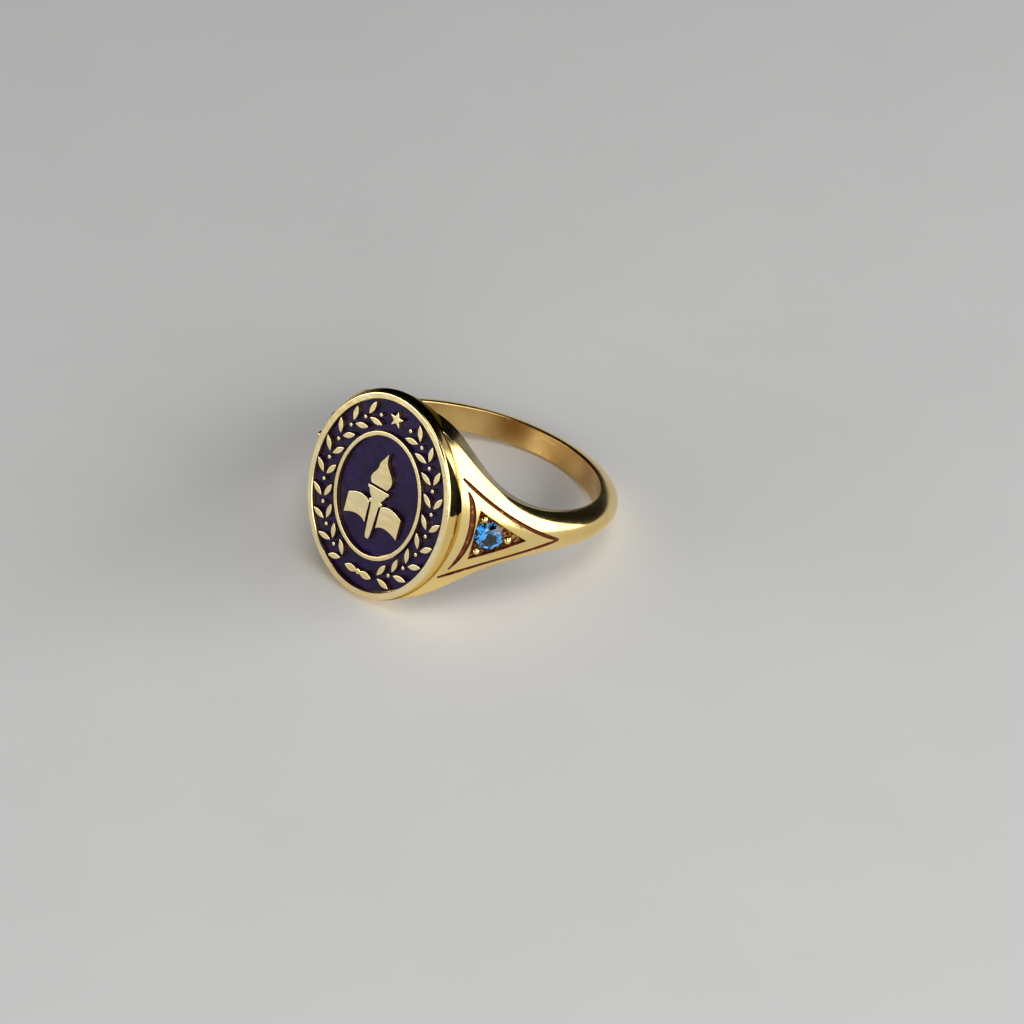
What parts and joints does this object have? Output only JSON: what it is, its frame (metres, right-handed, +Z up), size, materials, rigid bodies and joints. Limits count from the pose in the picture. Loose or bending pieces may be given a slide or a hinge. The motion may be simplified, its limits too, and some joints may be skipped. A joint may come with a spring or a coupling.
{
  "type": "class ring",
  "caption": "Gold signet class ring with an oval enamelled head, raised wreath and torch, and a round blue stone in each shoulder.",
  "frame": {"origin": "on the surface that the ring rests on, below the middle of its outline seen from above", "axes": "+Z up from the surface; the head faces -Y and leans back a little, so the finger hole's axis leans from +Z towards +Y; +X to the right of the face"},
  "size_m": [0.0204, 0.022, 0.0141],
  "materials": {
    "gold": "polished gold, darkened in the engraved lines",
    "enamel": "dark purple hard enamel, smooth",
    "stone": "clear blue faceted stone"
  },
  "bodies": {
    "root": {"ring_body": "gold", "enamel_band": "enamel", "enamel_centre": "enamel", "stone_right": "stone", "stone_left": "stone"}
  },
  "joints": []
}
